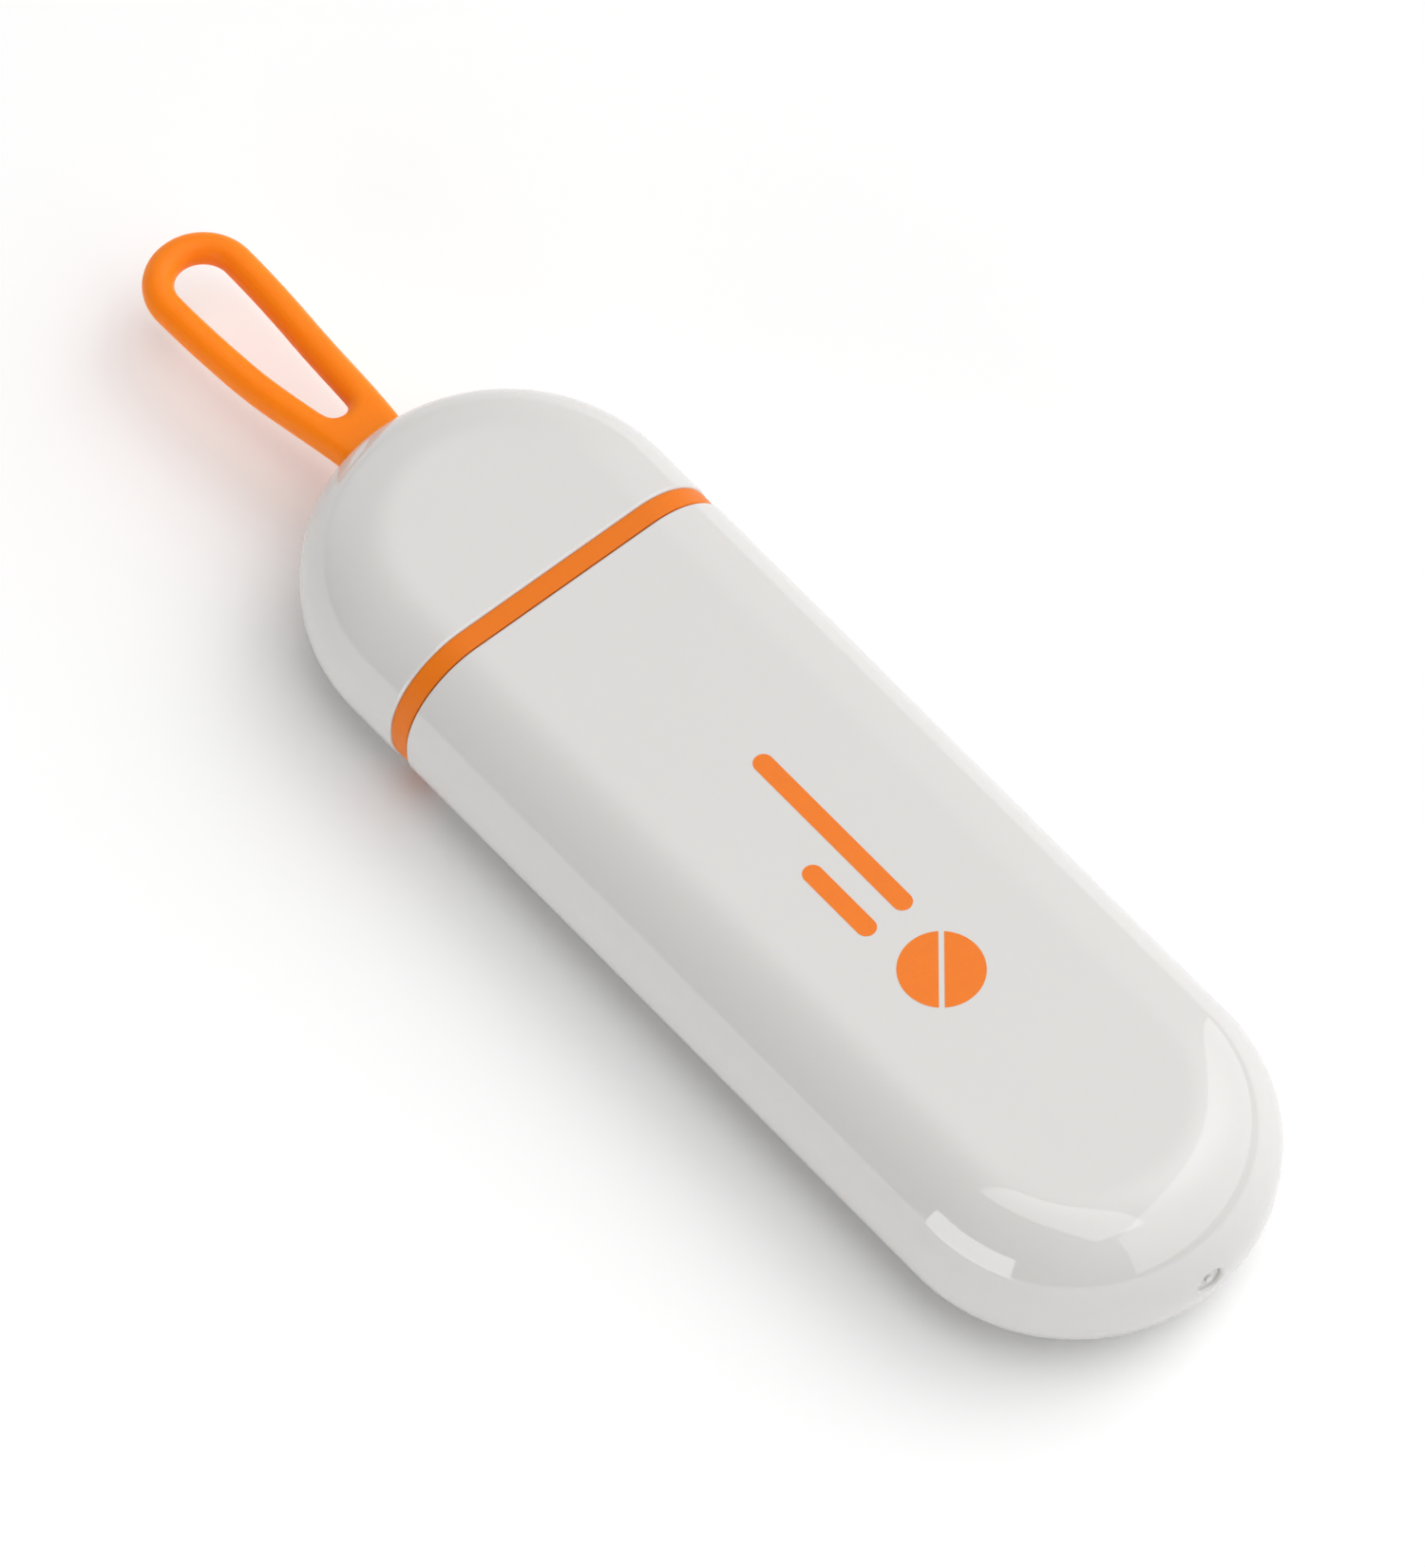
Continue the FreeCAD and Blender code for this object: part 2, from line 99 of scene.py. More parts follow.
class ShellSettings(bpy.types.PropertyGroup):
    wall: length("Wall", "Thickness of the case and the cap", 1.8 * MM)
    side_band: length("Side band", "Straight height left at the side between the edge rounds", 0.8 * MM)
    flat_border: length("Flat border", "Narrow face that keeps the edge of each flat crisp", 0.25 * MM)
    rim_round: length("Rim round", "Round on the outer edge of each rim", 0.28 * MM)
    lead_in: length("Lead-in", "Chamfer inside each mouth", 0.4 * MM)
    gate_radius: length("Gate radius", "Radius of the gate recess in the closed end", 1.4 * MM)
    gate_depth: length("Gate depth", "Depth of the gate recess", 0.5 * MM)
    gate_rim: length("Gate rim", "Round on the edge of the gate recess", 0.3 * MM)
    stub_radius: length("Stub radius", "Radius of the gate's stub", 0.4 * MM)
    stub_height: length("Stub height", "Height of the gate's stub", 0.25 * MM)
    end_steps: IntProperty(name="End steps", description="Faces round a quarter of an end",
                           default=40, min=8)
    edge_steps: IntProperty(name="Edge steps", description="Faces across an edge round",
                            default=20, min=4)
    tint: colour("Shell colour", "Glossy shell plastic", (0.66, 0.65, 0.637, 1.0))


class SealSettings(bpy.types.PropertyGroup):
    recess: length("Recess", "How far the band lies below the shells", 0.2 * MM)
    band: length("Band", "Visible width of the band", 2.25 * MM)
    skirt_inset: length("Skirt inset", "Skirt to the outer surface", 2.15 * MM)
    bore_inset: length("Bore inset", "Inside of the ring to the outer surface", 3.0 * MM)
    bead_height: length("Bead height", "Height of the sealing bead on the skirt", 0.26 * MM)
    bead_width: length("Bead width", "Width of the sealing bead", 0.9 * MM)
    edge_round: length("Edge round", "Round on the edges of the band", 0.15 * MM)
    # Painted shade: the band is the same orange silicone as the loop, with its tint made darker to stand
    # in for the shade on its flat face beside the brighter, translucent loop.
    tint: colour("Band colour", "Orange silicone of the ring", (0.80, 0.182, 0.006, 1.0))


class LoopSettings(bpy.types.PropertyGroup):
    end_width: length("End width", "Outer width of the round end", 11.9 * MM)
    root_width: length("Root width", "Width where the loop leaves the cap", 7.7 * MM)
    eye_start: length("Eye start", "Solid root from the cap to the eye", 4.6 * MM)
    crotch_radius: length("Crotch radius", "Radius of the narrow end of the eye", 1.34 * MM)
    voxel: length("Voxel", "Grain of the moulded mesh", 0.14 * MM, low=0.1 * MM)
    smoothing: IntProperty(name="Smoothing", description="Passes that soften the moulded mesh", default=6)
    splay: FloatProperty(name="Splay", description="Sideways slope of the cord at its root", default=0.131)
    slot_gap: length("Slot gap", "Play of the loop's root in its slot in the cap", 0.06 * MM)
    root_dive: length("Root dive", "How far the cord runs on inside the cap", 2.0 * MM)
    foot_thickness: length("Foot thickness", "Thickness of the foot behind the cap", 2.8 * MM)
    sag: length("Sag", "How far the soft loop hangs below its root", 0.85 * MM)
    sway: length("Sway", "How far it leans to one side", 0.35 * MM)
    sag_length: length("Sag length", "Distance in which it comes to hang", 15.0 * MM)
    bend_start: length("Bend start", "Start of the bend beyond the cap", 0.2 * MM)
    bend_length: length("Bend length", "Length of the soft root that bends", 4.0 * MM)
    tint: colour("Silicone colour", "Orange silicone", (0.97, 0.238, 0.002, 1.0))


class TraySettings(bpy.types.PropertyGroup):
    wall: length("Wall", "Thickness of the tray", 1.2 * MM)
    half_width: length("Half width", "Half the outer width of the tray", 14.93 * MM)
    corner: length("Corner", "Outside round along the bottom", 4.0 * MM)
    rim_round: length("Rim round", "Round on the rim of the tray", 0.3 * MM)
    guide_width: length("Guide width", "Width of a guide rib", 0.8 * MM)
    guide_depth: length("Guide depth", "How far a guide rib stands out", 0.8 * MM)
    guide_drop: length("Guide drop", "Top of a guide rib below the rim", 0.8 * MM)
    rib_round: length("Rib round", "Round on the edges of a guide rib", 0.15 * MM)
    divider_play: length("Divider play", "Gap on each side of a divider", 0.05 * MM)
    dip_radius: length("Dip radius", "Radius of the finger dip in a divider", 4.5 * MM)
    dip_depth: length("Dip depth", "Depth of the finger dip", 2.0 * MM)
    plate_round: length("Plate round", "Round on the edges of a divider", 0.15 * MM)
    tint: colour("Tray colour", "Frosted tray plastic", (0.74, 0.755, 0.75, 1.0))


class PrintSettings(bpy.types.PropertyGroup):
    ink_height: length("Ink height", "How far the ink stands above the shell", 0.02 * MM)
    tablet_radius: length("Tablet radius", "Radius of the printed tablet", 4.3 * MM)
    tablet_x: length("Tablet X", "Middle of the tablet across the case", -0.7 * MM, low=-1.0)
    tablet_y: length("Tablet Y", "Middle of the tablet along the case", -23.4 * MM, low=-1.0)
    score_width: length("Score width", "Width of the gap across the tablet", 0.55 * MM)
    score_turn: FloatProperty(name="Score turn", description="Turn of the gap from the X axis",
                              default=math.radians(50), subtype="ANGLE", unit="ROTATION")
    bar_height: length("Bar height", "Height of a printed bar", 2.1 * MM)
    bar_start: length("Bar start", "Start of both bars along the case", -16.2 * MM, low=-1.0)
    short_bar_x: length("Short bar X", "Middle of the short bar across the case", -3.1 * MM, low=-1.0)
    short_bar_end: length("Short bar end", "End of the short bar along the case", -6.3 * MM, low=-1.0)
    long_bar_x: length("Long bar X", "Middle of the long bar across the case", 1.4 * MM, low=-1.0)
    long_bar_end: length("Long bar end", "End of the long bar along the case", 6.3 * MM, low=-1.0)
    tint: colour("Ink colour", "Orange ink", (0.84, 0.188, 0.004, 1.0))


class StudioSettings(bpy.types.PropertyGroup):
    camera_distance: length("Camera distance", "Camera to the object", 2.305, high=10.0)
    aim_right: length("Aim right", "Aim of the camera to the right of the origin", -7.25 * MM, low=-1.0)
    aim_up: length("Aim up", "Aim of the camera above the origin in the picture", 12.18 * MM, low=-1.0)
    lens: FloatProperty(name="Lens", description="Focal length in millimetres", default=551.4, min=10.0)
    azimuth: FloatProperty(name="Azimuth", description="Camera azimuth", default=math.radians(-40.5),
                           subtype="ANGLE", unit="ROTATION")
    elevation: FloatProperty(name="Elevation", description="Camera elevation", default=math.radians(57.6),
                             subtype="ANGLE", unit="ROTATION")
    key_radiance: FloatProperty(name="Key", description="Radiance of the key softbox", default=1.18)
    window_radiance: FloatProperty(name="Window", description="Radiance of the side window", default=3.1)
    strip_radiance: FloatProperty(name="Strip", description="Radiance of the overhead strip", default=1.5)
    ambient: FloatProperty(name="Ambient", description="Brightness of the even air", default=0.09)
    glow_falloff: FloatProperty(name="Glow falloff", description="How fast each glow fades", default=9.0)
    air_tint: colour("Air colour", "Tint of the soft light", (1.0, 0.992, 0.984, 1.0))
    floor_tint: colour("Floor colour", "Plain pale floor", (0.97, 0.972, 0.975, 1.0))


GROUPS = {
    "pill_shell": ShellSettings, "pill_seal": SealSettings, "pill_loop": LoopSettings,
    "pill_tray": TraySettings, "pill_print": PrintSettings, "pill_studio": StudioSettings,
}


# ---- modelling helpers ----
def choose(*pieces):
    """Selects these pieces only, and makes the first one active."""
    bpy.ops.object.select_all(action="DESELECT")
    for piece in pieces:
        piece.select_set(True)
    bpy.context.view_layer.objects.active = pieces[0]


def add_box(name, low, high):
    """A cube between two corners, ready to be shaped."""
    bpy.ops.object.select_all(action="DESELECT")
    bpy.ops.mesh.primitive_cube_add(size=1.0, location=(Vector(low) + Vector(high)) / 2)
    piece = bpy.context.active_object
    piece.name = name
    piece.data.name = name
    piece.scale = Vector(high) - Vector(low)
    settle(piece)
    return piece


def settle(piece):
    """Moves the object's place, turn and scale into its mesh."""
    choose(piece)
    bpy.ops.object.transform_apply(location=True, rotation=True, scale=True)


def edit(piece):
    """Opens the piece in edit mode."""
    choose(piece)
    bpy.ops.object.mode_set(mode="EDIT")


def done():
    """Leaves edit mode."""
    bpy.ops.object.mode_set(mode="OBJECT")


def pick(kind, test):
    """In edit mode, selects the vertices, edges or faces that pass the test."""
    bpy.ops.mesh.select_mode(type=kind)
    bpy.ops.mesh.select_all(action="DESELECT")
    mesh = bmesh.from_edit_mesh(bpy.context.edit_object.data)
    items = {"VERT": mesh.verts, "EDGE": mesh.edges, "FACE": mesh.faces}[kind]
    for item in items:
        if test(item):
            item.select_set(True)
    mesh.select_flush_mode()
    bmesh.update_edit_mesh(bpy.context.edit_object.data)


def level(item, axis, value):
    """Whether every vertex of an edge or face has this coordinate on the axis."""
    return all(abs(vertex.co[axis] - value) < TINY for vertex in item.verts)


def runs_along(edge, axis, least=TINY):
    """Whether the two ends of an edge lie apart along the axis."""
    return abs(edge.verts[0].co[axis] - edge.verts[1].co[axis]) > least


def bevel(width, steps):
    """Rounds the chosen edges, in this many steps."""
    bpy.ops.mesh.bevel(offset=width, offset_type="OFFSET", segments=steps, profile=0.5,
                       affect="EDGES", clamp_overlap=False)


def full_round(radius, steps):
    """Rounds the chosen edges until two rounds meet, and merges the sliver between them."""
    bevel(radius - TINY, steps)
    bpy.ops.mesh.select_all(action="SELECT")
    bpy.ops.mesh.remove_doubles(threshold=MERGE)


def inset(width):
    """Draws the outline of the chosen faces inwards."""
    bpy.ops.mesh.inset(thickness=width, use_even_offset=True, use_boundary=True)


def apply_modifier(piece, kind, **values):
    """Adds a modifier with these values and makes its result permanent."""
    choose(piece)
    bpy.ops.object.modifier_add(type=kind)
    modifier = piece.modifiers[-1]
    for key, value in values.items():
        setattr(modifier, key, value)
    bpy.ops.object.modifier_apply(modifier=modifier.name)


def cut_or_join(piece, tool, operation):
    """Cuts the tool out of the piece, or adds it, and removes the tool."""
    apply_modifier(piece, "BOOLEAN", operation=operation, object=tool, solver="EXACT")
    bpy.data.objects.remove(tool)


def join(pieces):
    """Makes one object of these pieces, under the name of the first."""
    choose(*pieces)
    bpy.ops.object.join()
    return pieces[0]


def add_cylinder(name, radius, depth, location, axis, sides=64):
    """A cylinder about its middle, along an axis."""
    bpy.ops.object.select_all(action="DESELECT")
    turn = Vector((0, 0, 1)).rotation_difference(Vector(axis)).to_euler()
    bpy.ops.mesh.primitive_cylinder_add(vertices=sides, radius=radius, depth=depth, location=location,
                                        rotation=turn)
    piece = bpy.context.active_object
    piece.name = name
    settle(piece)
    return piece


def smooth(piece):
    """Smooth shading that keeps real edges, with flat faces left truly flat."""
    choose(piece)
    bpy.ops.object.shade_smooth_by_angle(angle=SMOOTH_ANGLE)
    apply_modifier(piece, "WEIGHTED_NORMAL", mode="FACE_AREA_WITH_ANGLE", weight=50, keep_sharp=True)


def finish_piece(piece, material, slot, body, *nodes):
    """Gives a finished piece its material, its body and the CAD nodes that it stands for."""
    piece.data.materials.clear()
    piece.data.materials.append(material)
    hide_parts(*nodes)
    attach(piece, body)


# ---- materials ----
class Finish:
    """A material under construction: its shader, and the nodes that feed it."""

    def __init__(self, name, tint, roughness):
        self.material = bpy.data.materials.get(name) or bpy.data.materials.new(name)
        self.material.use_nodes = True
        self.nodes = self.material.node_tree.nodes
        self.links = self.material.node_tree.links
        self.nodes.clear()
        output = self.nodes.new("ShaderNodeOutputMaterial")
        self.shader = self.nodes.new("ShaderNodeBsdfPrincipled")
        self.links.new(self.shader.outputs["BSDF"], output.inputs["Surface"])
        self.place = self.nodes.new("ShaderNodeTexCoord").outputs["Object"]
        self.shader.inputs["Base Color"].default_value = tint
        self.shader.inputs["Roughness"].default_value = roughness
        self.bumped = None

    def set(self, **values):
        """Sets inputs of the shader that are equal all over."""
        for key, value in values.items():
            self.shader.inputs[key.replace("_", " ")].default_value = value

    def noise(self, size, detail, distortion=0.0):
        """Noise whose features are about size across, in metres."""
        noise = self.nodes.new("ShaderNodeTexNoise")
        noise.inputs["Scale"].default_value = 1.0 / size
        noise.inputs["Detail"].default_value = detail
        noise.inputs["Distortion"].default_value = distortion
        self.links.new(self.place, noise.inputs["Vector"])
        return noise.outputs["Fac"]

    def vary_roughness(self, value, low, high):
        """Lets the roughness wander between two values over the useful range of a noise."""
        ramp = self.nodes.new("ShaderNodeMapRange")
        for key, number in (("From Min", 0.3), ("From Max", 0.7), ("To Min", low), ("To Max", high)):
            ramp.inputs[key].default_value = number
        self.links.new(value, ramp.inputs["Value"])
        self.links.new(ramp.outputs["Result"], self.shader.inputs["Roughness"])

    def vary_colour(self, value, first, second):
        """Lets the colour wander between two tints."""
        mix = self.nodes.new("ShaderNodeMix")
        mix.data_type = "RGBA"
        tints = [socket for socket in mix.inputs if socket.type == "RGBA"]
        tints[0].default_value, tints[1].default_value = first, second
        self.links.new(value, mix.inputs["Factor"])
        result = [socket for socket in mix.outputs if socket.type == "RGBA"][0]
        self.links.new(result, self.shader.inputs["Base Color"])

    def bump(self, value, height):
        """Adds relief of about height, in metres, on top of what is there."""
        bump = self.nodes.new("ShaderNodeBump")
        bump.inputs["Strength"].default_value = 1.0
        bump.inputs["Distance"].default_value = height
        self.links.new(value, bump.inputs["Height"])
        if self.bumped:
            self.links.new(self.bumped, bump.inputs["Normal"])
        self.bumped = bump.outputs["Normal"]
        self.links.new(self.bumped, self.shader.inputs["Normal"])


def shade(tint, factor):
    """A lighter or darker version of a tint."""
    return tuple(min(1.0, channel * factor) for channel in tint[:3]) + (1.0,)


def gloss_shell(tint):
    """High-gloss moulded plastic: nearly even colour, slight mould waviness, faint handling marks."""
    finish = Finish("gloss_shell", tint, 0.05)
    finish.set(IOR=1.6, Subsurface_Weight=0.06, Subsurface_Scale=0.0012)
    finish.vary_colour(finish.noise(0.03, 2.0), shade(tint, 0.99), shade(tint, 1.01))
    finish.vary_roughness(finish.noise(0.006, 5.0, distortion=1.2), 0.035, 0.07)
    finish.bump(finish.noise(0.0045, 1.5), 0.000003)
    finish.bump(finish.noise(0.0002, 2.0), 0.0000003)
    return finish.material


def plain_plastic(tint):
    """Moulded plastic of the hidden plug, with a light spark-eroded grain."""
    finish = Finish("plug_plastic", shade(tint, 0.97), 0.35)
    finish.set(IOR=1.5)
    finish.vary_colour(finish.noise(0.01, 2.0), shade(tint, 0.94), shade(tint, 0.98))
    finish.vary_roughness(finish.noise(0.002, 4.0), 0.3, 0.42)
    finish.bump(finish.noise(0.00025, 2.0), 0.000004)
    return finish.material


def silicone(name, tint, depth):
    """Soft satin silicone: fine matte grain, slight depth of colour."""
    finish = Finish(name, tint, 0.45)
    finish.set(IOR=1.42, Specular_IOR_Level=0.3, Subsurface_Weight=depth, Subsurface_Scale=0.002,
               Sheen_Weight=0.06, Sheen_Roughness=0.45, Sheen_Tint=shade(tint, 1.0))
    finish.shader.inputs["Subsurface Radius"].default_value = (1.0, 0.35, 0.1)
    finish.vary_colour(finish.noise(0.005, 3.0), shade(tint, 0.965), shade(tint, 1.03))
    finish.vary_roughness(finish.noise(0.0016, 4.0), 0.4, 0.52)
    finish.bump(finish.noise(0.0012, 2.0), 0.000006)
    finish.bump(finish.noise(0.00018, 2.0), 0.0000022)
    return finish.material


def frosted_plastic(tint):
    """Natural polypropylene: milky, a little translucent, with a satin mould grain."""
    finish = Finish("frosted_plastic", tint, 0.34)
    finish.set(IOR=1.49, Subsurface_Weight=0.35, Subsurface_Scale=0.003, Transmission_Weight=0.12)
    finish.vary_colour(finish.noise(0.012, 3.0, distortion=0.8), shade(tint, 0.97), shade(tint, 1.02))
    finish.vary_roughness(finish.noise(0.003, 4.0), 0.28, 0.42)
    finish.bump(finish.noise(0.0003, 2.0), 0.000003)
    return finish.material


def printed_ink(tint):
    """Thin pad-printed ink, a little uneven in cover."""
    finish = Finish("printed_ink", tint, 0.3)
    finish.set(IOR=1.48, Specular_IOR_Level=0.4)
    finish.vary_colour(finish.noise(0.0015, 4.0), shade(tint, 0.95), shade(tint, 1.04))
    finish.vary_roughness(finish.noise(0.0008, 3.0), 0.24, 0.36)
    finish.bump(finish.noise(0.0003, 3.0), 0.000002)
    return finish.material


def pale_floor(tint):
    """Matte even floor."""
    finish = Finish("pale_floor", tint, 0.9)
    finish.set(Specular_IOR_Level=0.1)
    return finish.material


# ---- the shells ----
def edge_radius():
    """Radius of the round between the side and the flats of the body."""
    return (BODY_TOP - bpy.context.scene.pill_shell.side_band) / 2


def inset_of(point):
    """How far inside the outer shape a point of the straight cross-section lies."""
    radius = edge_radius()
    across = abs(point.x) - (HALF_WIDTH - radius)
    up = abs(point.z - MID_Z) - bpy.context.scene.pill_shell.side_band / 2
    return radius - math.hypot(max(across, 0), max(up, 0)) - min(max(across, up), 0)


def lies_inside(edge, depth, play):
    """Whether an edge lies this deep inside the outer shape."""
    return all(abs(inset_of(vertex.co) - depth) < play for vertex in edge.verts)


def shell_half(name, open_y, round_y):
    """A shell with one round end, open at the other, with its wall, rim round and lead-in."""
    settings = bpy.context.scene.pill_shell
    low_y, high_y = sorted((open_y, round_y))
    piece = add_box(name, (-HALF_WIDTH, low_y, 0), (HALF_WIDTH, high_y, BODY_TOP))
    edit(piece)
    pick("EDGE", lambda e: level(e, 1, round_y) and runs_along(e, 2))
    full_round(HALF_WIDTH, settings.end_steps)
    pick("EDGE", lambda e: (level(e, 2, 0) or level(e, 2, BODY_TOP)) and not level(e, 1, open_y))
    bevel(edge_radius(), settings.edge_steps)
    pick("FACE", lambda f: level(f, 1, open_y))
    bpy.ops.mesh.delete(type="FACE")
    pick("FACE", lambda f: level(f, 2, 0) or level(f, 2, BODY_TOP))
    bpy.ops.mesh.inset(thickness=settings.flat_border, use_even_offset=True, use_boundary=False)
    done()
    apply_modifier(piece, "SOLIDIFY", thickness=settings.wall, offset=-1.0, use_even_offset=True,
                   use_rim=True)
    edit(piece)
    pick("EDGE", lambda e: level(e, 1, open_y) and lies_inside(e, 0, CLOSE))
    bevel(settings.rim_round, steps=4)
    pick("EDGE", lambda e: level(e, 1, open_y) and lies_inside(e, settings.wall, LOOSE))
    bevel(settings.lead_in, steps=1)
    done()
    return piece


class PILL_OT_case(bpy.types.Operator):
    """Long half of the shell, with the gate recess in its closed end"""
    bl_idname = "pill_case.case"
    bl_label = "Case Shell"

    def execute(self, context):
        settings = context.scene.pill_shell
        piece = shell_half("case_shell", CASE_RIM_Y, CASE_LOW.y)
        bottom = CASE_LOW.y + settings.gate_depth
        recess = add_cylinder("gate", settings.gate_radius, 2 * settings.gate_depth,
                              (0, bottom - settings.gate_depth, MID_Z), (0, 1, 0), sides=48)
        cut_or_join(piece, recess, "DIFFERENCE")
        edit(piece)
        pick("EDGE", lambda e: all(v.co.y < bottom - settings.gate_rim and abs(
            math.hypot(v.co.x, v.co.z - MID_Z) - settings.gate_radius) < FINE for v in e.verts))
        bevel(settings.gate_rim, steps=4)
        done()
        stub = add_cylinder("stub", settings.stub_radius, 2 * settings.stub_height,
                            (0, bottom, MID_Z), (0, 1, 0), sides=32)
        cut_or_join(piece, stub, "UNION")
        smooth(piece)
        finish_piece(piece, gloss_shell(settings.tint), "white_shell", "case", "outer_case")
        return {"FINISHED"}


def loop_bar(name, extra, low_y, high_y):
    """Root of the loop as a bar with full-round edges, drawn out by extra."""
    settings = bpy.context.scene.pill_loop
    half = settings.root_width / 2 + extra
    thick = (LOOP_HIGH.z - LOOP_LOW.z) / 2 + extra
    bar = add_box(name, (-half, low_y, MID_Z - thick), (half, high_y, MID_Z + thick))
    edit(bar)
    pick("EDGE", lambda e: runs_along(e, 1))
    bevel(thick * NEARLY_ROUND, steps=10)
    done()
    return bar


class PILL_OT_cap(bpy.types.Operator):
    """Short half of the shell, with the slot that the loop comes out of"""
    bl_idname = "pill_case.cap"
    bl_label = "Cap Shell"

    def execute(self, context):
        settings = context.scene.pill_shell
        piece = shell_half("cap_cover", CAP_RIM_Y, CAP_END_Y)
        gap = context.scene.pill_loop.slot_gap
        slot = loop_bar("slot", gap, CAP_END_Y - 3 * settings.wall, CAP_END_Y + settings.wall)
        cut_or_join(piece, slot, "DIFFERENCE")
        smooth(piece)
        finish_piece(piece, gloss_shell(settings.tint), "white_shell", "drawer", "cap_shell")
        return {"FINISHED"}


class PILL_OT_plug(bpy.types.Operator):
    """Finish of the plug inside the cap"""
    bl_idname = "pill_case.plug"
    bl_label = "Plug Finish"

    def execute(self, context):
        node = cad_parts["cap_core"]
        node.data.materials.clear()
        node.data.materials.append(plain_plastic(context.scene.pill_shell.tint))
        return {"FINISHED"}


# ---- the seal ring ----
class PILL_OT_seal(bpy.types.Operator):
    """Silicone ring: the visible band, and the skirt with its bead"""
    bl_idname = "pill_case.seal"
    bl_label = "Seal Ring"

    def execute(self, context):
        settings = context.scene.pill_seal
        steps = context.scene.pill_shell.edge_steps
        face_y = CAP_RIM_Y - settings.band
        side = HALF_WIDTH - settings.recess
        piece = add_box("seal_band", (-side, face_y, settings.recess),
                        (side, CAP_RIM_Y, BODY_TOP - settings.recess))
        edit(piece)
        pick("EDGE", lambda e: runs_along(e, 1))
        bevel(edge_radius() - settings.recess, steps)
        self.grow_skirt(settings, face_y)
        self.open_bore(settings)
        pick("EDGE", lambda e: (level(e, 1, face_y) or level(e, 1, CAP_RIM_Y))
             and lies_inside(e, settings.recess, CLOSE))
        bevel(settings.edge_round, steps=3)
        done()
        smooth(piece)
        # Same silicone as the loop; the darker band tint is painted shade.
        material = silicone("band_silicone_shaded", settings.tint, 0.15)
        finish_piece(piece, material, "orange_silicone", "drawer", "seal_ring")
        return {"FINISHED"}

    def grow_skirt(self, settings, face_y):
        """Draws the skirt out of the band's lower face in steps, and swells its bead."""
        pick("FACE", lambda f: level(f, 1, face_y))
        inset(settings.skirt_inset - settings.recess)
        skirt = face_y - RING_LOW.y
        plain = (skirt - settings.bead_width) / 2
        ramp = settings.bead_width / 3
        for step in (plain, ramp, ramp, ramp, plain):
            bpy.ops.mesh.extrude_region_move(TRANSFORM_OT_translate={"value": (0, -step, 0)})
        for bead_y in (face_y - plain - ramp, face_y - plain - 2 * ramp):
            pick("VERT", lambda v: abs(v.co.y - bead_y) < TINY)
            bpy.ops.transform.shrink_fatten(value=settings.bead_height)

    def open_bore(self, settings):
        """Opens the ring from end to end."""
        pick("FACE", lambda f: level(f, 1, RING_LOW.y))
        inset(settings.bore_inset - settings.skirt_inset)
        bpy.ops.mesh.delete(type="FACE")
        pick("FACE", lambda f: level(f, 1, CAP_RIM_Y))
        inset(settings.bore_inset - settings.recess)
        bpy.ops.mesh.delete(type="FACE")
        pick("EDGE", lambda e: e.is_boundary)
        bpy.ops.mesh.bridge_edge_loops()
        bpy.ops.mesh.select_all(action="SELECT")
        bpy.ops.mesh.normals_make_consistent(inside=False)


